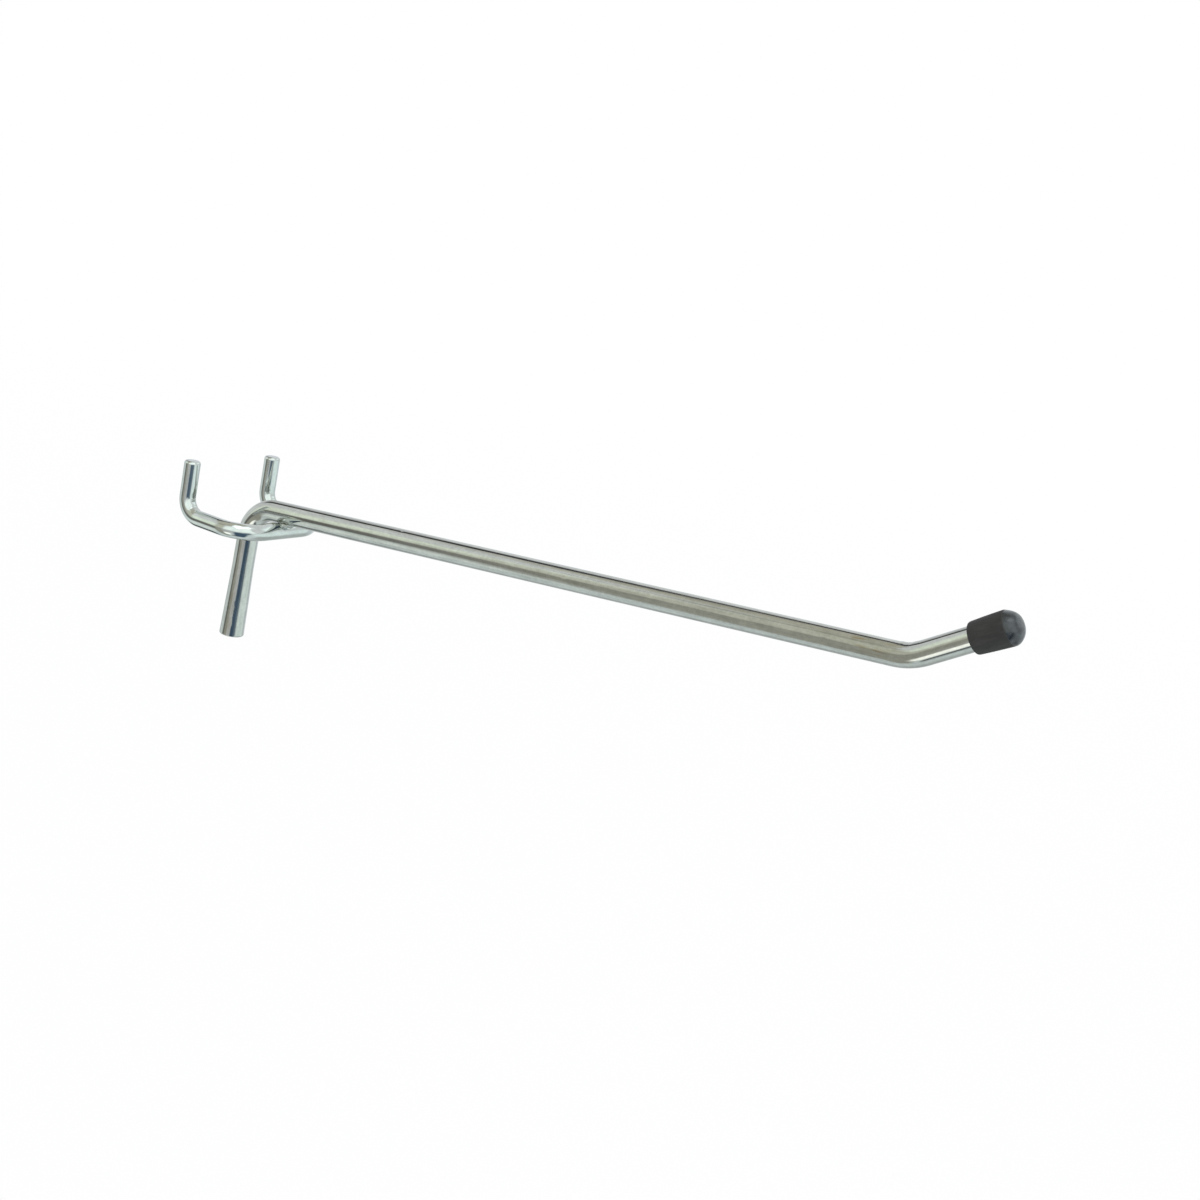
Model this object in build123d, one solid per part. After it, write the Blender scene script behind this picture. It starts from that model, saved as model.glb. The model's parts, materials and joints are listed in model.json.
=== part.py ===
from build123d import *
import os
from math import cos, radians, sin

os.makedirs("parts", exist_ok=True)

# Single wire hook for a perforated board, in millimetres.
# X runs along the board to the right, Z is up, and the arm points along -Y.
# The origin is on the board's front face, midway between the two holes.

# Board side
hole_pitch = 25.4
prong_setback = 4.3

# Thin wire bent into the staple that hooks into the holes
staple_wire_d = 3.55
prong_height = 12.0
prong_bend_r = 4.2
prong_end_round = 0.45
staple_reach = 12.8
staple_corner_r = 7.0

# Thick wire: leg, arm and raised tip
main_wire_d = 4.8
leg_drop = 26.5
leg_lean_angle = 1.2
foot_d = 5.5
foot_flare_length = 16.0
foot_edge_round = 0.5
rear_bend_r = 7.5
arm_rise_angle = 5.3
arm_length = 148.4
tip_rise_angle = 33.0
tip_bend_r = 13.0
tip_length = 20.4
tip_end_chamfer = 0.5

# Cross-wire weld: how far the arm is pressed into the staple, and the flash squeezed out
weld_sink = 0.25
flash_d = 4.5
flash_thickness = 1.7

# Push-on cap, measured along the tip from its mouth
cap_grip = 7.9
cap_clearance = 0.03
cap_mouth_d = 6.1
cap_shoulder_d = 6.55
cap_body_length = 7.0
cap_chamfer_angle = 29.0
cap_end_wall = 1.65
cap_dome_r = 3.15
cap_lip_round = 0.4


def side(out, up):
    """A point in the hook's plane of symmetry, out from the board and up."""
    return Vector(0, -out, up)


def side_direction(angle):
    """A direction in the plane of symmetry, raised by an angle above straight out."""
    return side(cos(radians(angle)), sin(radians(angle)))


def crossing(start, along, other, other_along):
    """Where two lines in the plane of symmetry meet."""
    gap = other - start
    across = along.cross(other_along).X
    return start + along * (gap.cross(other_along).X / across)


def swept_wire(path, wire_d):
    """Round wire along a path."""
    return sweep(Plane(path @ 0, z_dir=path % 0) * Circle(wire_d / 2), path)


# Lines of the thick wire. The back of the foot touches the board, so the leg is set from there.
leg_up = side_direction(90 - leg_lean_angle)
arm_out = side_direction(arm_rise_angle)
tip_out = side_direction(tip_rise_angle)
foot = side(foot_d / 2 * cos(radians(leg_lean_angle)), -leg_drop)
wire_gap = (main_wire_d + staple_wire_d) / 2 - weld_sink
arm_normal = side_direction(arm_rise_angle + 90)
weld_point = side(staple_reach, 0) + arm_normal * wire_gap
rear_corner = crossing(foot, leg_up, weld_point, arm_out)
tip_corner = weld_point + arm_out * arm_length
wire_end = tip_corner + tip_out * tip_length


def make_main_wire():
    """One wire: a leg with a spread foot, a rear bend, a long arm and a raised tip."""
    flare_top = foot + leg_up * foot_flare_length
    corners = [flare_top, rear_corner, tip_corner, wire_end]
    path = FilletPolyline(*corners, radius=[rear_bend_r, tip_bend_r])
    wire = swept_wire(path, main_wire_d)
    end_edge = wire.edges().filter_by(GeomType.CIRCLE).sort_by_distance(wire_end)[0]
    wire = chamfer(end_edge, tip_end_chamfer)
    foot_plane = Plane(foot, x_dir=(1, 0, 0), z_dir=leg_up)
    flare = Cone(foot_d / 2, main_wire_d / 2, foot_flare_length)
    flare = Pos(0, 0, foot_flare_length / 2) * flare
    flare = fillet(flare.edges().sort_by(Axis.Z)[0], foot_edge_round)
    return wire + foot_plane * flare


def make_peg_staple(main_wire):
    """One wire: two upright prongs, two shanks and a cross run, dented where the arm lies on it."""
    half = hole_pitch / 2
    path = FilletPolyline(
        (-half, prong_setback, prong_height),
        (-half, prong_setback, 0),
        (-half, -staple_reach, 0),
        (half, -staple_reach, 0),
        (half, prong_setback, 0),
        (half, prong_setback, prong_height),
        radius=[prong_bend_r, staple_corner_r, staple_corner_r, prong_bend_r],
    )
    wire = swept_wire(path, staple_wire_d)
    rims = wire.edges().filter_by(GeomType.CIRCLE).group_by(Axis.Z)[-1]
    return fillet(rims, prong_end_round) - main_wire


def make_weld_flash(main_wire, peg_staple):
    """Metal squeezed out round the contact of the two crossed wires."""
    contact = weld_point - arm_normal * (main_wire_d / 2)
    profile = make_face(
        [
            EllipticalCenterArc((0, 0), flash_d / 2, flash_thickness / 2, start_angle=-90, arc_size=180),
            Line((0, flash_thickness / 2), (0, -flash_thickness / 2)),
        ]
    )
    bead = revolve(Plane.XZ * profile, Axis.Z)
    bead = Plane(contact, x_dir=(1, 0, 0), z_dir=arm_normal) * bead
    return bead - main_wire - peg_staple


def make_tip_cap():
    """Soft push-on cap: a bore that grips the wire, a widening body, a shoulder and a dome."""
    bore_r = main_wire_d / 2 + cap_clearance
    mouth_r = cap_mouth_d / 2
    shoulder_r = cap_shoulder_d / 2
    length = cap_grip + cap_end_wall
    dome_centre = length - cap_dome_r
    dome = CenterArc((0, dome_centre), cap_dome_r, cap_chamfer_angle, 90 - cap_chamfer_angle)
    profile = make_face(
        [
            Line((bore_r, 0), (mouth_r, 0)),
            Line((mouth_r, 0), (shoulder_r, cap_body_length)),
            Line((shoulder_r, cap_body_length), dome @ 0),
            dome,
            Line((0, length), (0, cap_grip)),
            Line((0, cap_grip), (bore_r, cap_grip)),
            Line((bore_r, cap_grip), (bore_r, 0)),
        ]
    )
    lip = profile.vertices().sort_by_distance(Vertex(mouth_r, 0, 0))[0]
    cap = revolve(Plane.XZ * fillet(lip, cap_lip_round), Axis.Z)
    mouth = wire_end - tip_out * cap_grip
    return Plane(mouth, x_dir=(1, 0, 0), z_dir=tip_out) * cap


main_wire = make_main_wire()
peg_staple = make_peg_staple(main_wire)
pieces = {
    "main_wire": main_wire,
    "peg_staple": peg_staple,
    "weld_flash": make_weld_flash(main_wire, peg_staple),
    "tip_cap": make_tip_cap(),
}
for name, shape in pieces.items():
    export_step(shape, f"parts/{name}.step")
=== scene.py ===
import json
import math

import bmesh
import bpy
from mathutils import Matrix, Vector, noise

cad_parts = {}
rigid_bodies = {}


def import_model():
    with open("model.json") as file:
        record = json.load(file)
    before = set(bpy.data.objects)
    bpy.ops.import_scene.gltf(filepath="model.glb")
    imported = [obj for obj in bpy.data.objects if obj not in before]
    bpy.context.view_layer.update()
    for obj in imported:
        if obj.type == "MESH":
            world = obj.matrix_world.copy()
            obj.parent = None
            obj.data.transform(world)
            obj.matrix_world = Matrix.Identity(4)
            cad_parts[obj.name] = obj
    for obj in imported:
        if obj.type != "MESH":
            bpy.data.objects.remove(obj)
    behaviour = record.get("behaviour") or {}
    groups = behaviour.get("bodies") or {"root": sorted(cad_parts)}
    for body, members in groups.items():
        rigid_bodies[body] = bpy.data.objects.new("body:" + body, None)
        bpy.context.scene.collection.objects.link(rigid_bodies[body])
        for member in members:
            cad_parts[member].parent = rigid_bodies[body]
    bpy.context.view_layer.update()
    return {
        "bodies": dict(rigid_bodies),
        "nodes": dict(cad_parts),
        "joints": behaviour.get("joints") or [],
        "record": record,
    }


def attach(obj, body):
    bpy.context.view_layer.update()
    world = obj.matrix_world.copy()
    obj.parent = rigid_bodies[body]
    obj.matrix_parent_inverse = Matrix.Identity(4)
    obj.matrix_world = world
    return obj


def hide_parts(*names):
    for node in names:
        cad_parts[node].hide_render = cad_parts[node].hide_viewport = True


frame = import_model()

MM = 0.001

# Sizes of the hook, in millimetres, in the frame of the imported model
HOLE_PITCH = 25.4
PRONG_SETBACK = 4.3
STAPLE_D = 3.55
PRONG_HEIGHT = 12.0
PRONG_BEND_R = 4.2
STAPLE_REACH = 12.8
STAPLE_CORNER_R = 7.0
MAIN_D = 4.8
LEG_DROP = 26.5
LEG_LEAN = math.radians(1.2)
FOOT_D = 5.5
FOOT_FLARE = 16.0
REAR_BEND_R = 7.5
ARM_RISE = math.radians(5.3)
ARM_LENGTH = 148.4
TIP_RISE = math.radians(33.0)
TIP_BEND_R = 13.0
TIP_LENGTH = 20.4
WELD_SINK = 0.25
CAP_GRIP = 7.9

# The sheared foot's burr, beyond the wire's own length
FOOT_BURR = 0.35

# Rounding of each wire's two sheared ends, at the start and at the end of its route
MAIN_END_ROUNDS = (0.32, 0.55)
STAPLE_END_ROUNDS = (0.62, 0.62)

# Points round a wire and round the cap, and steps along the wires
WIRE_AROUND = 64
CAP_AROUND = 96
MAIN_STEP = 0.35
STAPLE_STEP = 0.25

# Marks on the wires: place along the straightened wire and half length, place round it and half
# width in degrees, in millimetres and degrees, then depth (a dent is above 0, a lip below)
MAIN_DENTS = (
    (184.6, 1.7, 90, 56, 0.10),
    (185.5, 0.45, 94, 44, 0.06),
    (183.4, 0.6, 88, 40, -0.04),
    (69.7, 0.45, 113, 12, 0.06),
    (84.3, 0.6, 150, 10, 0.05),
    (112.0, 0.7, 168, 9, 0.03),
    (131.5, 0.6, 160, 7, 0.04),
    (50.0, 0.6, 200, 8, 0.03),
    (166.5, 1.6, 158, 7, 0.03),
    (168.6, 1.1, 174, 6, 0.03),
    (8.0, 0.6, 204, 6, -0.04),
    (12.5, 0.8, 190, 6, 0.04),
    (19.0, 0.6, 196, 6, 0.04),
    (3.2, 0.9, 206, 7, 0.04),
)
STAPLE_DENTS = (
    (9.6, 0.5, 88, 46, 0.09),
    (10.7, 0.4, 80, 38, -0.07),
    (11.5, 0.5, 96, 48, 0.11),
    (12.5, 0.4, 74, 30, -0.06),
    (13.4, 0.5, 100, 40, 0.07),
    (61.0, 0.5, 92, 46, 0.09),
    (62.1, 0.4, 104, 38, -0.07),
    (63.0, 0.5, 86, 44, 0.10),
    (64.4, 0.4, 96, 36, 0.06),
    (22.6, 0.8, 74, 16, 0.07),
    (23.8, 0.7, 112, 14, -0.05),
    (24.9, 0.9, 140, 16, 0.08),
    (26.6, 0.8, 118, 13, -0.05),
    (28.0, 1.2, 150, 16, 0.07),
    (33.2, 2.8, 95, 62, -0.42),
    (40.8, 2.8, 95, 62, -0.42),
)
# Rubbed and stained places: along, half length, round, half width
MAIN_RUBS = ((184.8, 3.0, 95, 50), (6.0, 5.0, 200, 40))
STAPLE_RUBS = ((11.5, 2.6, 90, 60), (62.6, 2.6, 90, 60), (23.5, 3.0, 110, 40))
MAIN_STAINS = ((176.0, 9.0, 138, 26), (178.5, 6.5, 172, 34), (6.0, 6.0, 200, 22))

RIGHT = Vector((1, 0, 0))


# Geometry shared by the wires

def side(out, up):
    """A point in the hook's middle plane, out from the board and up."""
    return Vector((0, -out, up))


def side_direction(angle):
    """A direction in the middle plane, raised by an angle above straight out."""
    return side(math.cos(angle), math.sin(angle))


def crossing(start, along, other, other_along):
    """Where two lines in the middle plane meet."""
    across = along.cross(other_along).x
    return start + along * ((other - start).cross(other_along).x / across)


def hook_lines():
    """The corners of the thick wire and the directions of its runs."""
    leg_up = side_direction(math.pi / 2 - LEG_LEAN)
    arm_out = side_direction(ARM_RISE)
    tip_out = side_direction(TIP_RISE)
    normal = side_direction(ARM_RISE + math.pi / 2)
    foot = side(FOOT_D / 2 * math.cos(LEG_LEAN), -LEG_DROP)
    weld = side(STAPLE_REACH, 0) + normal * ((MAIN_D + STAPLE_D) / 2 - WELD_SINK)
    rear = crossing(foot, leg_up, weld, arm_out)
    bend = weld + arm_out * ARM_LENGTH
    end = bend + tip_out * TIP_LENGTH
    return {"foot": foot, "rear": rear, "weld": weld, "bend": bend, "end": end,
            "arm_out": arm_out, "tip_out": tip_out, "normal": normal}


def corner_arc(before, corner, after, radius, step):
    """Points round one corner of a route, from tangent point to tangent point."""
    into = (corner - before).normalized()
    away = (after - corner).normalized()
    turn = into.angle(away)
    start = corner - into * radius * math.tan(turn / 2)
    inward = (away - into * away.dot(into)).normalized()
    count = max(6, int(radius * turn / step))
    points = []
    for i in range(count + 1):
        angle = turn * i / count
        rise = inward * radius * (1 - math.cos(angle))
        points.append(start + into * radius * math.sin(angle) + rise)
    return points


def route_points(corners, radii, step):
    """Evenly spaced points along a route with rounded corners."""
    stops = [corners[0]]
    for i, radius in enumerate(radii):
        stops += corner_arc(corners[i], corners[i + 1], corners[i + 2], radius, step)
    stops.append(corners[-1])
    points = [stops[0]]
    for a, b in zip(stops, stops[1:]):
        count = max(1, round((b - a).length / step))
        points += [a.lerp(b, i / count) for i in range(1, count + 1)]
    return points


def route_frames(points, sideways):
    """For each point: itself, its distance along, and two directions across the wire."""
    frames = []
    travelled = 0.0
    across = sideways.normalized()
    for i, point in enumerate(points):
        ahead = points[min(i + 1, len(points) - 1)] - points[max(i - 1, 0)]
        ahead.normalize()
        across = (across - ahead * across.dot(ahead)).normalized()
        if i:
            travelled += (point - points[i - 1]).length
        frames.append((point, travelled, across.copy(), ahead.cross(across)))
    return frames


def spot(along, angle, place, half_length, middle, half_width):
    """1 in the middle of a mark on a wire, falling softly to 0 at its edge."""
    turned = (math.degrees(angle) - middle + 180) % 360 - 180
    apart = ((along - place) / half_length) ** 2 + (turned / half_width) ** 2
    return math.exp(-2 * apart) if apart < 4 else 0.0


def marked(along, angle, marks):
    """The strongest of several marks at one place on a wire."""
    return max((spot(along, angle, *mark) for mark in marks), default=0.0)


def sheared_end(rounding):
    """Distance from a wire's end and inset of the rings that round it, from the end inwards."""
    turns = [math.pi / 2 * part for part in (1, 0.75, 0.5, 0.3, 0.12, 0)]
    return [(rounding * (1 - math.sin(turn)), rounding * (1 - math.cos(turn))) for turn in turns]


def point_between(frames, along):
    """The point and the two cross directions at a distance along the frames."""
    near_start = along < frames[-1][1] / 2
    low, high = frames[:2] if near_start else frames[-2:]
    part = (along - low[1]) / (high[1] - low[1])
    return low[0].lerp(high[0], part), along, low[2], low[3]


def wire_mesh(name, frames, radius_at, roundings, marks):
    """A round wire with rounded ends. Each vertex keeps its place on the straightened wire."""
    dents, rubs, stains = marks
    mesh = bmesh.new()
    place = mesh.verts.layers.float_vector.new("straight")
    rub = mesh.verts.layers.float.new("rub")
    stain = mesh.verts.layers.float.new("stain")
    total = frames[-1][1]
    stations = [(point_between(frames, along), inset) for along, inset in sheared_end(roundings[0])]
    stations += [(frame, 0.0) for frame in frames if roundings[0] < frame[1] < total - roundings[1]]
    stations += [(point_between(frames, total - back), inset)
                 for back, inset in reversed(sheared_end(roundings[1]))]
    rings = []
    for (point, along, across, over), inset in stations:
        ring = []
        for i in range(WIRE_AROUND):
            angle = 2 * math.pi * i / WIRE_AROUND
            out = across * math.cos(angle) + over * math.sin(angle)
            dent = sum(spot(along, angle, *mark[:4]) * mark[4] for mark in dents)
            radius = radius_at(along) - inset - dent
            vert = mesh.verts.new((point + out * radius) * MM)
            vert[place] = (math.cos(angle) * radius, math.sin(angle) * radius, along)
            vert[rub] = marked(along, angle, rubs)
            vert[stain] = marked(along, angle, stains)
            ring.append(vert)
        rings.append(ring)
    for low, high in zip(rings, rings[1:]):
        ring_pairs(mesh, low, high)
    for ring, along in ((rings[0], 0.0), (rings[-1], total)):
        close_end(mesh, ring, place, along)
    return finished_piece(name, mesh)


def close_end(mesh, ring, place, along):
    """The flat sheared face, as rings closing on its middle."""
    middle = sum((vert.co for vert in ring), Vector()) / len(ring)
    for share in (0.8, 0.6, 0.4):
        inner = []
        for vert in ring:
            point = mesh.verts.new(middle.lerp(vert.co, share))
            point[place] = (vert[place].x * share, vert[place].y * share, along)
            inner.append(point)
        ring_pairs(mesh, ring, inner)
        ring = inner
    tip = mesh.verts.new(middle)
    tip[place] = (0, 0, along)
    fan(mesh, ring, tip)


def fan(mesh, ring, tip):
    """Triangles from a ring to one point."""
    for a, b in zip(ring, ring[1:] + ring[:1]):
        mesh.faces.new((a, b, tip))


def ring_pairs(mesh, low, high):
    """A band of faces between two rings of the same count."""
    for i in range(len(low)):
        j = (i + 1) % len(low)
        mesh.faces.new((low[i], low[j], high[j], high[i]))


def finished_piece(name, mesh):
    """Turns a bmesh into a smooth-shaded object in the scene."""
    bmesh.ops.recalc_face_normals(mesh, faces=mesh.faces)
    for face in mesh.faces:
        face.smooth = len(face.verts) <= 4
    data = bpy.data.meshes.new(name)
    mesh.to_mesh(data)
    mesh.free()
    piece = bpy.data.objects.new(name, data)
    bpy.context.scene.collection.objects.link(piece)
    return piece


def main_radius(along):
    """The thick wire spreads towards its foot."""
    spread = max(0.0, 1 - along / FOOT_FLARE)
    return MAIN_D / 2 + (FOOT_D - MAIN_D) / 2 * spread


def make_main_wire(lines):
    """Leg, rear bend, arm and raised tip as one drawn wire."""
    foot = lines["foot"] + (lines["foot"] - lines["rear"]).normalized() * FOOT_BURR
    corners = [foot, lines["rear"], lines["bend"], lines["end"]]
    points = route_points(corners, [REAR_BEND_R, TIP_BEND_R], MAIN_STEP)
    frames = route_frames(points, RIGHT)
    marks = (MAIN_DENTS, MAIN_RUBS, MAIN_STAINS)
    return wire_mesh("main_wire_detail", frames, main_radius, MAIN_END_ROUNDS, marks)


def make_peg_staple():
    """Two prongs, two shanks and the cross run as one bent wire."""
    half = HOLE_PITCH / 2
    corners = [Vector((-half, PRONG_SETBACK, PRONG_HEIGHT)), Vector((-half, PRONG_SETBACK, 0)),
               Vector((-half, -STAPLE_REACH, 0)), Vector((half, -STAPLE_REACH, 0)),
               Vector((half, PRONG_SETBACK, 0)), Vector((half, PRONG_SETBACK, PRONG_HEIGHT))]
    radii = [PRONG_BEND_R, STAPLE_CORNER_R, STAPLE_CORNER_R, PRONG_BEND_R]
    frames = route_frames(route_points(corners, radii, STAPLE_STEP), RIGHT)
    marks = (STAPLE_DENTS, STAPLE_RUBS, ())
    return wire_mesh("peg_staple_detail", frames, lambda along: STAPLE_D / 2, STAPLE_END_ROUNDS, marks)


# Cap

def arc_points(points, count):
    """A smooth line through a few (along, radius) points."""
    line = []
    for i in range(len(points) - 1):
        a, b = points[max(i - 1, 0)], points[i]
        c, d = points[i + 1], points[min(i + 2, len(points) - 1)]
        for k in range(count):
            t = k / count
            line.append(tuple(0.5 * (2 * q + (r - p) * t + (2 * p - 5 * q + 4 * r - s) * t * t
                                     + (3 * q - p - 3 * r + s) * t ** 3)
                              for p, q, r, s in zip(a, b, c, d)))
    return line + [points[-1]]


# The cap's outline, as distance from the mouth and radius: bore, lip, and the shoulder and dome
# on its upper and on its lower side
CAP_BORE = ((CAP_GRIP, 0.0), (CAP_GRIP, 1.2), (CAP_GRIP, 2.4), (CAP_GRIP, 2.43), (4.0, 2.43),
            (0.3, 2.43), (0.08, 2.47))
CAP_LIP = ((0.02, 2.55), (0.0, 2.72), (0.04, 2.86), (0.14, 2.98), (0.34, 3.05), (0.6, 3.075))
CAP_DOME_UPPER = ((6.75, 3.32), (7.1, 3.2), (7.6, 2.97), (8.15, 2.67), (8.65, 2.26), (9.0, 1.8),
                  (9.2, 1.22), (9.3, 0.6), (9.32, 0.0))
CAP_DOME_LOWER = ((7.3, 3.36), (7.55, 3.28), (7.95, 3.07), (8.35, 2.74), (8.72, 2.32), (9.02, 1.82),
                  (9.22, 1.24), (9.32, 0.61), (9.32, 0.0))
CAP_SHOULDER_UPPER = (6.55, 3.34)
CAP_SHOULDER_LOWER = (7.0, 3.38)
CAP_BODY_RINGS = 16
CAP_SWELL = 0.03


def cap_outline(dome, shoulder):
    """One side of the cap, from the bore over the lip and the shoulder to the apex."""
    line = [*CAP_BORE, *arc_points(CAP_LIP, 3)]
    start, end = CAP_LIP[-1], shoulder
    for i in range(1, CAP_BODY_RINGS):
        part = i / CAP_BODY_RINGS
        swell = CAP_SWELL * math.sin(math.pi * part)
        line.append((start[0] + (end[0] - start[0]) * part,
                     start[1] + (end[1] - start[1]) * part + swell))
    edge = (shoulder[0] * 0.4 + dome[0][0] * 0.6, dome[0][1] + 0.012)
    return [*line, shoulder, edge, *arc_points(dome, 4)]


def make_tip_cap(lines):
    """Soft cap pushed over the wire's end, fuller below its shoulder than above."""
    along_axis = lines["tip_out"]
    over = along_axis.cross(RIGHT)
    mouth = lines["end"] - along_axis * CAP_GRIP
    mesh = bmesh.new()
    place = mesh.verts.layers.float_vector.new("straight")
    upper = cap_outline(CAP_DOME_UPPER, CAP_SHOULDER_UPPER)
    lower = cap_outline(CAP_DOME_LOWER, CAP_SHOULDER_LOWER)
    rings = []
    for high, low in zip(upper, lower):
        ring = []
        for i in range(CAP_AROUND if high[1] else 1):
            angle = 2 * math.pi * i / CAP_AROUND
            share = (1 - math.sin(angle)) / 2
            along = high[0] + (low[0] - high[0]) * share
            radius = high[1] + (low[1] - high[1]) * share
            out = RIGHT * math.cos(angle) + over * math.sin(angle)
            vert = mesh.verts.new((mouth + along_axis * along + out * radius) * MM)
            vert[place] = (math.cos(angle) * radius, math.sin(angle) * radius, along)
            ring.append(vert)
        rings.append(ring)
    for low, high in zip(rings[1:], rings[2:-1]):
        ring_pairs(mesh, low, high)
    fan(mesh, rings[1], rings[0][0])
    fan(mesh, rings[-2], rings[-1][0])
    return finished_piece("tip_cap_detail", mesh)


# Weld

# Lumps of the flash: direction from its middle (right, out along the arm, up) and height
FLASH_LUMPS = (((-0.35, 0.9, 0.35), 0.42), ((0.1, 1.0, 0.1), 0.3), ((0.55, 0.8, 0.3), 0.3),
               ((-0.3, 0.7, -0.7), 0.22))
# Half sizes of the flash (right, out along the arm, up) and where its middle lies from the contact
FLASH_HALF = (1.95, 1.6, 0.85)
FLASH_LEFT = 0.15
FLASH_OUT = 0.8
FLASH_DOWN = 0.12
LUMP_SHARPNESS = 14


def make_weld_flash(lines):
    """Lumpy metal squeezed out between the arm and the cross run, most of it to the front."""
    arm_out, normal = lines["arm_out"], lines["normal"]
    middle = lines["weld"] - normal * (MAIN_D / 2 + FLASH_DOWN) + arm_out * FLASH_OUT
    wide, deep, high = FLASH_HALF
    mesh = bmesh.new()
    place = mesh.verts.layers.float_vector.new("straight")
    bmesh.ops.create_icosphere(mesh, subdivisions=5, radius=1.0)
    for vert in mesh.verts:
        way = vert.co.copy()
        swell = 1 + 0.09 * noise.noise(way * 2.4 + Vector((3, 1, 7))) + 0.02 * noise.noise(way * 6.0)
        for direction, height in FLASH_LUMPS:
            near = way.dot(Vector(direction).normalized())
            swell += height * math.exp((near - 1) * LUMP_SHARPNESS)
        flat = RIGHT * (way.x * wide - FLASH_LEFT) + arm_out * way.y * deep + normal * way.z * high
        vert[place] = flat * swell
        vert.co = (middle + flat * swell) * MM
    return finished_piece("weld_flash_detail", mesh)


# Materials

def add_node(tree, kind, **values):
    """A node with its plain settings and unlinked inputs filled in."""
    node = tree.nodes.new(kind)
    for name, value in values.items():
        if name in node.inputs:
            node.inputs[name].default_value = value
        else:
            setattr(node, name, value)
    return node


def feed(tree, value, socket):
    """Links a field into a socket, or writes a plain value there."""
    if isinstance(value, bpy.types.NodeSocket):
        tree.links.new(value, socket)
    else:
        socket.default_value = value


def calculated(tree, operation, *values):
    """The result of a calculation on fields and numbers."""
    node = add_node(tree, "ShaderNodeMath", operation=operation)
    for value, socket in zip(values, node.inputs):
        feed(tree, value, socket)
    return node.outputs[0]


def scaled_sum(tree, first, share, second=0.0):
    """One field times a share, added to another field or number."""
    return calculated(tree, "MULTIPLY_ADD", first, share, second)


def ranged(tree, value, span, reach=(0.0, 1.0), kind="LINEAR"):
    """A field brought from one span of values to another, and held at the span's ends."""
    node = add_node(tree, "ShaderNodeMapRange", interpolation_type=kind)
    names = ("Value", "From Min", "From Max", "To Min", "To Max")
    for name, part in zip(names, (value, *span, *reach)):
        feed(tree, part, node.inputs[name])
    return node.outputs[0]


def soft_step(tree, value, low, high):
    """0 below one value and 1 above another, softly between."""
    return ranged(tree, value, (low, high), kind="SMOOTHSTEP")


def mixed(tree, share, first, second):
    """Two colours mixed by a field. Each of them is a plain colour or a field."""
    node = add_node(tree, "ShaderNodeMix", data_type="RGBA")
    feed(tree, share, node.inputs[0])
    for colour, socket in ((first, node.inputs[6]), (second, node.inputs[7])):
        feed(tree, (*colour, 1) if isinstance(colour, tuple) else colour, socket)
    return node.outputs[2]


def split_parts(tree, vector):
    """The X, Y and Z of a place or a direction."""
    split = tree.nodes.new("ShaderNodeSeparateXYZ")
    tree.links.new(vector, split.inputs[0])
    return split.outputs


def vertex_field(tree, name, output):
    """A value kept with the mesh's vertices."""
    return add_node(tree, "ShaderNodeAttribute", attribute_name=name).outputs[output]


def stretched_noise(tree, place, stretch, detail):
    """Noise on the straightened wire or cap, stretched along it."""
    scaled = add_node(tree, "ShaderNodeVectorMath", operation="MULTIPLY")
    scaled.inputs[1].default_value = stretch
    texture = add_node(tree, "ShaderNodeTexNoise", Scale=1.0, Detail=detail, Roughness=0.55)
    tree.links.new(place, scaled.inputs[0])
    tree.links.new(scaled.outputs[0], texture.inputs["Vector"])
    return texture.outputs["Fac"]


def new_material(name):
    """A material, its node tree and its main shader."""
    material = bpy.data.materials.new(name)
    material.use_nodes = True
    return material, material.node_tree, material.node_tree.nodes["Principled BSDF"]


def add_relief(tree, shader, height, depth):
    """Fine bumps on a surface, as deep as given in metres."""
    bump = add_node(tree, "ShaderNodeBump", Strength=1.0, Distance=depth)
    tree.links.new(height, bump.inputs["Height"])
    tree.links.new(bump.outputs["Normal"], shader.inputs["Normal"])


# Patterns of a drawn and plated wire: scale across (twice) and along the wire, and detail
WIRE_PATTERNS = {
    "fine": ((4.2, 4.2, 0.11), 3),
    "broad": ((1.1, 1.1, 0.035), 2),
    "blotch": ((0.7, 0.7, 0.22), 4),
    "grain": ((1.9, 1.9, 1.3), 4),
    "crinkle": ((1.6, 1.6, 2.4), 3),
    "streaks": ((1.7, 1.7, 0.22), 4),
}
# Where goods and hands have dulled the wire: it sets in and ends over these spans along it
HANDLED_START = (60, 120)
HANDLED_END = (181, 188)


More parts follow.
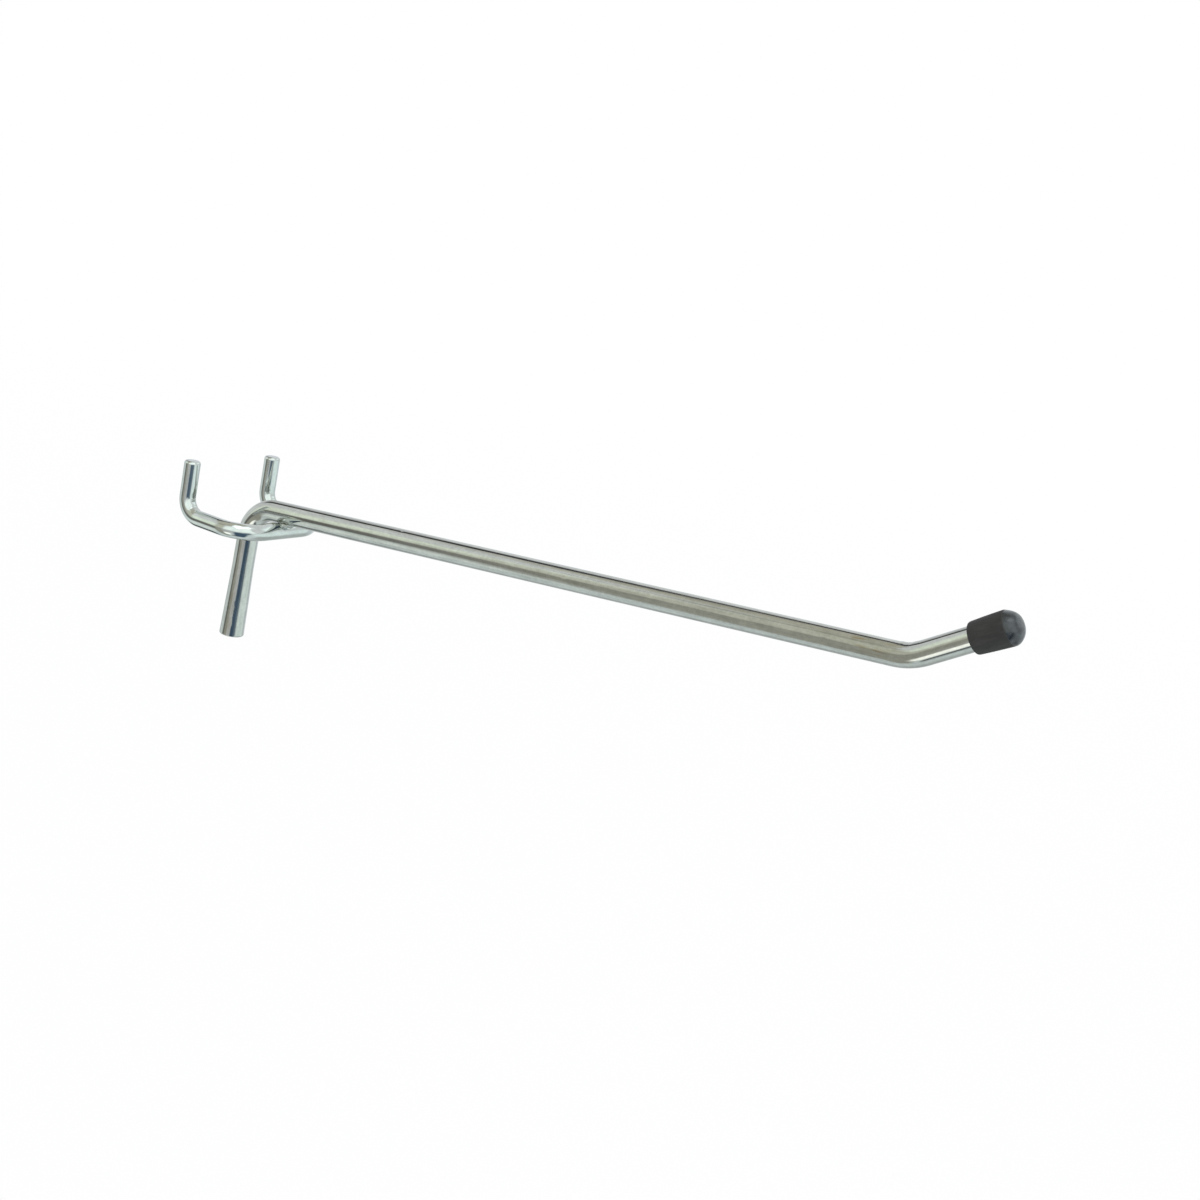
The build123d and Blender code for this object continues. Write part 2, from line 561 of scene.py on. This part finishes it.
def wire_marks_group():
    """Drawing lines, grain, specks, rubbed, handled and stained places of a plated wire."""
    group = bpy.data.node_groups.new("wire_marks", "ShaderNodeTree")
    face = group.interface
    face.new_socket("Place", in_out="INPUT", socket_type="NodeSocketVector")
    for name in ("Rub", "Stain"):
        face.new_socket(name, in_out="INPUT", socket_type="NodeSocketFloat")
    for name in ("Height", "Tone", "Wear", "Brown"):
        face.new_socket(name, in_out="OUTPUT", socket_type="NodeSocketFloat")
    start = group.nodes.new("NodeGroupInput").outputs
    end = group.nodes.new("NodeGroupOutput").inputs
    place = start["Place"]
    fine, broad, blotch, grain, crinkle, streaks = (
        stretched_noise(group, place, *pattern) for pattern in WIRE_PATTERNS.values())
    along = split_parts(group, place)["Z"]
    ended = scaled_sum(group, soft_step(group, along, *HANDLED_END), -1.0)
    handled = scaled_sum(group, soft_step(group, along, *HANDLED_START), 1.0, ended)
    grained = scaled_sum(group, grain, scaled_sum(group, handled, 0.7, 0.5))
    height = scaled_sum(group, fine, 0.35, scaled_sum(group, grained, 1.0, broad))
    rubbed = scaled_sum(group, crinkle, start["Rub"])
    tone = scaled_sum(group, fine, 0.4, scaled_sum(group, grain, 0.5))
    specks = soft_step(group, crinkle, 0.66, 0.74)
    worn = scaled_sum(group, specks, 1.0, rubbed)
    feed(group, scaled_sum(group, rubbed, 6.0, height), end["Height"])
    feed(group, scaled_sum(group, blotch, 0.5, tone), end["Tone"])
    feed(group, scaled_sum(group, handled, 0.45, worn), end["Wear"])
    feed(group, scaled_sum(group, soft_step(group, streaks, 0.47, 0.70), start["Stain"]), end["Brown"])
    return group


# Dark and light colour of each zinc surface, its least and most roughness, and its relief in metres
ZINC_LOOKS = {
    "main_zinc": ((0.39, 0.40, 0.378), (0.57, 0.58, 0.552), (0.05, 0.20), 0.0000042),
    "staple_zinc": ((0.46, 0.485, 0.47), (0.61, 0.64, 0.62), (0.05, 0.20), 0.0000036),
    "weld_metal": ((0.38, 0.40, 0.38), (0.56, 0.59, 0.56), (0.10, 0.30), 0.000005),
}
STAIN_COLOUR = (0.37, 0.32, 0.22)
TONE_SPAN = (0.5, 0.9)


def zinc_wire(name, marks, dark, light, roughness, depth):
    """Bright zinc on drawn wire, duller where it is rubbed and browner where it is stained."""
    material, tree, shader = new_material(name)
    shader.inputs["Metallic"].default_value = 1.0
    surface = add_node(tree, "ShaderNodeGroup", node_tree=marks)
    for socket, field, output in (("Place", "straight", "Vector"), ("Rub", "rub", "Fac"),
                                  ("Stain", "stain", "Fac")):
        feed(tree, vertex_field(tree, field, output), surface.inputs[socket])
    zinc = mixed(tree, ranged(tree, surface.outputs["Tone"], TONE_SPAN), dark, light)
    browned = mixed(tree, surface.outputs["Brown"], zinc, STAIN_COLOUR)
    feed(tree, browned, shader.inputs["Base Color"])
    rough = ranged(tree, surface.outputs["Wear"], (0.0, 1.0), roughness)
    feed(tree, rough, shader.inputs["Roughness"])
    add_relief(tree, shader, surface.outputs["Height"], depth)
    return material


# The cap's rub marks, grain and the lighter patches of painted reflection on its dome: scale across
# (twice) and along, and detail
CAP_PATTERNS = (((1.3, 1.3, 0.24), 5), ((5.0, 5.0, 5.0), 3), ((0.8, 0.8, 0.8), 3))
CAP_BODY_COLOURS = ((0.015, 0.014, 0.014), (0.030, 0.027, 0.027))
# The dome's darker and lighter colour: a painted bluish reflection, greyer and lighter than the body
CAP_DOME_REFLECTION_COLOURS = ((0.008, 0.010, 0.014), (0.036, 0.042, 0.050))
# Where the body passes into the dome, from the mouth, and the roughness of the two
CAP_DOME_EDGE = (6.85, 7.25)
CAP_ROUGHNESS = (0.62, 0.16)


def cap_vinyl():
    """Dull black dipped vinyl with faint lengthwise rub marks, and a smoother dome whose greyer,
    bluish colour and lighter patches are a painted reflection.
    """
    material, tree, shader = new_material("cap_vinyl")
    shader.inputs["Specular IOR Level"].default_value = 0.5
    shader.inputs["Coat Roughness"].default_value = 0.1
    place = vertex_field(tree, "straight", "Vector")
    rubs, grain, dome_reflection_patches = (stretched_noise(tree, place, *pattern) for pattern in CAP_PATTERNS)
    dome = soft_step(tree, split_parts(tree, place)["Z"], *CAP_DOME_EDGE)
    body = mixed(tree, ranged(tree, rubs, (0.35, 0.7)), *CAP_BODY_COLOURS)
    # Painted reflection: the dome's bluish grey colour, with lighter patches of painted sheen
    smooth = mixed(tree, soft_step(tree, dome_reflection_patches, 0.35, 0.65), *CAP_DOME_REFLECTION_COLOURS)
    feed(tree, mixed(tree, dome, body, smooth), shader.inputs["Base Color"])
    rough = ranged(tree, dome, (0.0, 1.0), CAP_ROUGHNESS)
    feed(tree, scaled_sum(tree, grain, 0.12, rough), shader.inputs["Roughness"])
    feed(tree, scaled_sum(tree, dome, 0.3), shader.inputs["Coat Weight"])
    add_relief(tree, shader, scaled_sum(tree, rubs, 1.2, grain), 0.00002)
    return material


# Camera, light and stage

# What stands round the hook in the studio, laid over a white room in this order: middle azimuth
# from straight ahead of the arm and half width, middle elevation and half height, softness of
# the edge, all in degrees, and colour. The first ones were fitted to the colours that the wires
# reflect in the photograph, and all were then set by comparing renders with it.
SURROUNDINGS = {
    "right_floor": (84, 70, -50, 20, 24, (0.58, 0.62, 0.62)),
    "left_floor": (-146, 14, -40, 10, 14, (1.06, 1.14, 1.09)),
    "front_floor": (24, 34, -12, 16, 20, (1.08, 1.22, 1.20)),
    "right_end": (76, 14, -10, 14, 16, (0.80, 0.87, 0.90)),
    "right_window": (60, 26, 39, 12, 16, (1.36, 1.54, 1.52)),
    "upper_wall": (152, 12, 25, 12, 12, (0.70, 0.72, 0.74)),
    "back_wall": (126, 18, -4, 18, 18, (0.82, 0.84, 0.90)),
    "low_screen": (164, 12, -16, 10, 12, (0.70, 0.74, 0.72)),
    "left_wall": (-139, 15, 14, 15, 18, (1.18, 1.28, 1.10)),
    "ceiling": (-165, 76, 75, 26, 14, (0.66, 0.65, 0.55)),
    "dim_wall": (-112, 16, -32, 38, 12, (0.48, 0.48, 0.42)),
    "warm_wall": (-112, 16, 24, 20, 12, (0.76, 0.77, 0.65)),
    "warm_beam": (-124, 14, 46, 8, 10, (0.56, 0.57, 0.47)),
    "grey_wall": (-86, 15, -14, 15, 16, (0.70, 0.70, 0.69)),
    "lit_table": (-90, 11, -43, 10, 8, (1.85, 1.87, 1.76)),
    "dark_stand": (-134, 10, -11, 12, 12, (0.22, 0.22, 0.20)),
    "dark_base": (166, 15, -47, 8, 10, (0.07, 0.07, 0.07)),
    "dark_corner": (161, 14, 48, 8, 11, (0.06, 0.06, 0.08)),
    "dark_end": (143, 11, 54, 7, 10, (0.07, 0.07, 0.09)),
    "dark_beam": (164, 9, 39, 11, 10, (0.09, 0.09, 0.09)),
    "camera_side": (-46, 21, -38, 31, 14, (0.09, 0.14, 0.21)),
    "camera_legs": (-27, 9, -10, 10, 12, (0.19, 0.26, 0.32)),
    "under_camera": (-70, 13, -62, 5, 7, (0.18, 0.19, 0.20)),
    "window": (-52, 46, 28, 24, 14, (1.42, 1.54, 1.50)),
    "softbox": (-36, 50, 68, 8, 25, (1.72, 1.90, 1.90)),
}
ROOM_LOW = (0.86, 0.95, 0.95)
ROOM_HIGH = (0.96, 0.99, 1.00)


def heading(azimuth, elevation):
    """A direction given by azimuth from straight ahead of the arm, and elevation."""
    level = math.cos(math.radians(elevation))
    azimuth = math.radians(azimuth)
    return Vector((math.sin(azimuth) * level, -math.cos(azimuth) * level,
                   math.sin(math.radians(elevation))))


def soft_span(group, value, half, softness):
    """1 inside a span of directions, falling softly to 0 across its edge."""
    edges = [scaled_sum(group, softness, share, half) for share in (0.5, -0.5)]
    return ranged(group, calculated(group, "ABSOLUTE", value), edges, kind="SMOOTHSTEP")


def studio_panel_group():
    """One soft-edged panel or opening, laid over what is behind it."""
    group = bpy.data.node_groups.new("studio_panel", "ShaderNodeTree")
    face = group.interface
    for name in ("Azimuth", "Elevation", "Middle", "Half width", "Height", "Half height", "Softness"):
        face.new_socket(name, in_out="INPUT", socket_type="NodeSocketFloat")
    for name in ("Behind", "Colour"):
        face.new_socket(name, in_out="INPUT", socket_type="NodeSocketColor")
    face.new_socket("Room", in_out="OUTPUT", socket_type="NodeSocketColor")
    start = group.nodes.new("NodeGroupInput").outputs
    end = group.nodes.new("NodeGroupOutput").inputs
    across = calculated(group, "SUBTRACT", start["Azimuth"], start["Middle"])
    across = calculated(group, "WRAP", across, 180, -180)
    raised = calculated(group, "SUBTRACT", start["Elevation"], start["Height"])
    mask = calculated(group, "MULTIPLY",
                      soft_span(group, across, start["Half width"], start["Softness"]),
                      soft_span(group, raised, start["Half height"], start["Softness"]))
    feed(group, mixed(group, mask, start["Behind"], start["Colour"]), end["Room"])
    return group


def make_studio():
    """A white room with soft darker and brighter parts that the metal reflects."""
    world = bpy.data.worlds.new("studio")
    bpy.context.scene.world = world
    world.use_nodes = True
    tree = world.node_tree
    way = split_parts(tree, tree.nodes.new("ShaderNodeTexCoord").outputs["Generated"])
    ahead = calculated(tree, "MULTIPLY", way["Y"], -1)
    azimuth = calculated(tree, "DEGREES", calculated(tree, "ARCTAN2", way["X"], ahead))
    elevation = calculated(tree, "DEGREES", calculated(tree, "ARCSINE", way["Z"]))
    room = mixed(tree, soft_step(tree, elevation, -30, 30), ROOM_LOW, ROOM_HIGH)
    panel_group = studio_panel_group()
    for name, (middle, wide, raised, high, softness, tint) in SURROUNDINGS.items():
        panel = add_node(tree, "ShaderNodeGroup", node_tree=panel_group, label=name)
        values = {"Azimuth": azimuth, "Elevation": elevation, "Middle": middle, "Half width": wide,
                  "Height": raised, "Half height": high, "Softness": softness, "Behind": room,
                  "Colour": (*tint, 1)}
        for socket, value in values.items():
            feed(tree, value, panel.inputs[socket])
        room = panel.outputs[0]
    # Metal reflects the room and not the white, which would take the dark lines off the wires
    seen = tree.nodes.new("ShaderNodeLightPath").outputs
    plain = calculated(tree, "MAXIMUM", seen["Is Camera Ray"], seen["Is Transmission Ray"])
    feed(tree, mixed(tree, plain, room, (1, 1, 1)), tree.nodes["Background"].inputs["Color"])


# The soft box, in metres and watts: size, power, azimuth and elevation, and distance from the hook
SOFTBOX_SIZE = (0.5, 0.4)
SOFTBOX_POWER = 0.35
SOFTBOX_HEADING = (-36, 70)
SOFTBOX_AWAY = 0.9
HOOK_MIDDLE = Vector((0, -0.08, 0))


def make_softbox():
    """The main light: a large soft box high in front, to the left."""
    data = bpy.data.lights.new("softbox", "AREA")
    data.shape = "RECTANGLE"
    data.size, data.size_y = SOFTBOX_SIZE
    data.energy = SOFTBOX_POWER
    lamp = bpy.data.objects.new("softbox", data)
    lamp.location = HOOK_MIDDLE + heading(*SOFTBOX_HEADING) * SOFTBOX_AWAY
    lamp.rotation_euler = (HOOK_MIDDLE - lamp.location).to_track_quat("-Z", "Y").to_euler()
    bpy.context.scene.collection.objects.link(lamp)


# The floor, in metres: radius, height, and where it has faded to plain white for the camera
FLOOR_RADIUS = 6.0
FLOOR_HEIGHT = -0.15
FLOOR_FADE = (0.3, 1.5)
FLOOR_WHITE = (0.92, 1.0)
FLOOR_COLOURS = ((0.84, 0.85, 0.85), (0.88, 0.88, 0.87))


def make_floor():
    """A pale floor well below the hook, white to the camera but for the hook's shadow."""
    mesh = bmesh.new()
    bmesh.ops.create_circle(mesh, cap_ends=True, segments=96, radius=FLOOR_RADIUS)
    for vert in mesh.verts:
        vert.co.z = FLOOR_HEIGHT
    floor = finished_piece("floor", mesh)
    material, tree, shader = new_material("pale_floor")
    shader.inputs["Roughness"].default_value = 0.9
    speckle = add_node(tree, "ShaderNodeTexNoise", Scale=40.0, Detail=2.0)
    tint = mixed(tree, speckle.outputs["Fac"], *FLOOR_COLOURS)
    feed(tree, tint, shader.inputs["Base Color"])
    far = add_node(tree, "ShaderNodeVectorMath", operation="LENGTH")
    feed(tree, tree.nodes.new("ShaderNodeTexCoord").outputs["Object"], far.inputs[0])
    fade = ranged(tree, far.outputs["Value"], FLOOR_FADE, FLOOR_WHITE, "SMOOTHSTEP")
    seen = tree.nodes.new("ShaderNodeLightPath").outputs
    share = calculated(tree, "MULTIPLY", seen["Is Camera Ray"], fade)
    white = add_node(tree, "ShaderNodeEmission", Strength=1.0)
    blend = tree.nodes.new("ShaderNodeMixShader")
    for value, socket in zip((share, shader.outputs[0], white.outputs[0]), blend.inputs):
        feed(tree, value, socket)
    feed(tree, blend.outputs[0], tree.nodes["Material Output"].inputs["Surface"])
    floor.data.materials.append(material)
    floor.visible_glossy = False


# The camera: sensor and lens in millimetres, place in millimetres, and its right and up directions
SENSOR_WIDTH = 36
LENS = 56.134
CAMERA_PLACE = Vector((-309.631, -274.357, 94.598))
CAMERA_RIGHT = Vector((0.531237, -0.825060, 0.192517))
CAMERA_UP = Vector((0.098574, 0.285882, 0.953181))


def make_camera():
    """The photograph's viewpoint."""
    data = bpy.data.cameras.new("camera")
    data.sensor_width = SENSOR_WIDTH
    data.lens = LENS
    camera = bpy.data.objects.new("camera", data)
    turn = Matrix((CAMERA_RIGHT, CAMERA_UP, CAMERA_RIGHT.cross(CAMERA_UP))).transposed().to_4x4()
    camera.matrix_world = Matrix.Translation(CAMERA_PLACE * MM) @ turn
    bpy.context.scene.collection.objects.link(camera)
    bpy.context.scene.camera = camera


make_camera()
make_studio()
make_softbox()
make_floor()
bpy.context.scene.view_settings.view_transform = "Standard"
lines = hook_lines()
wire_marks = wire_marks_group()
finishes = {name: zinc_wire(name, wire_marks, *look) for name, look in ZINC_LOOKS.items()}
finishes["cap_vinyl"] = cap_vinyl()
pieces = (
    (make_main_wire(lines), "main_wire", "main_zinc"),
    (make_peg_staple(), "peg_staple", "staple_zinc"),
    (make_weld_flash(lines), "weld_flash", "weld_metal"),
    (make_tip_cap(lines), "tip_cap", "cap_vinyl"),
)
for piece, node, slot in pieces:
    piece.data.materials.append(finishes[slot])
    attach(piece, "root")
    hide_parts(node)
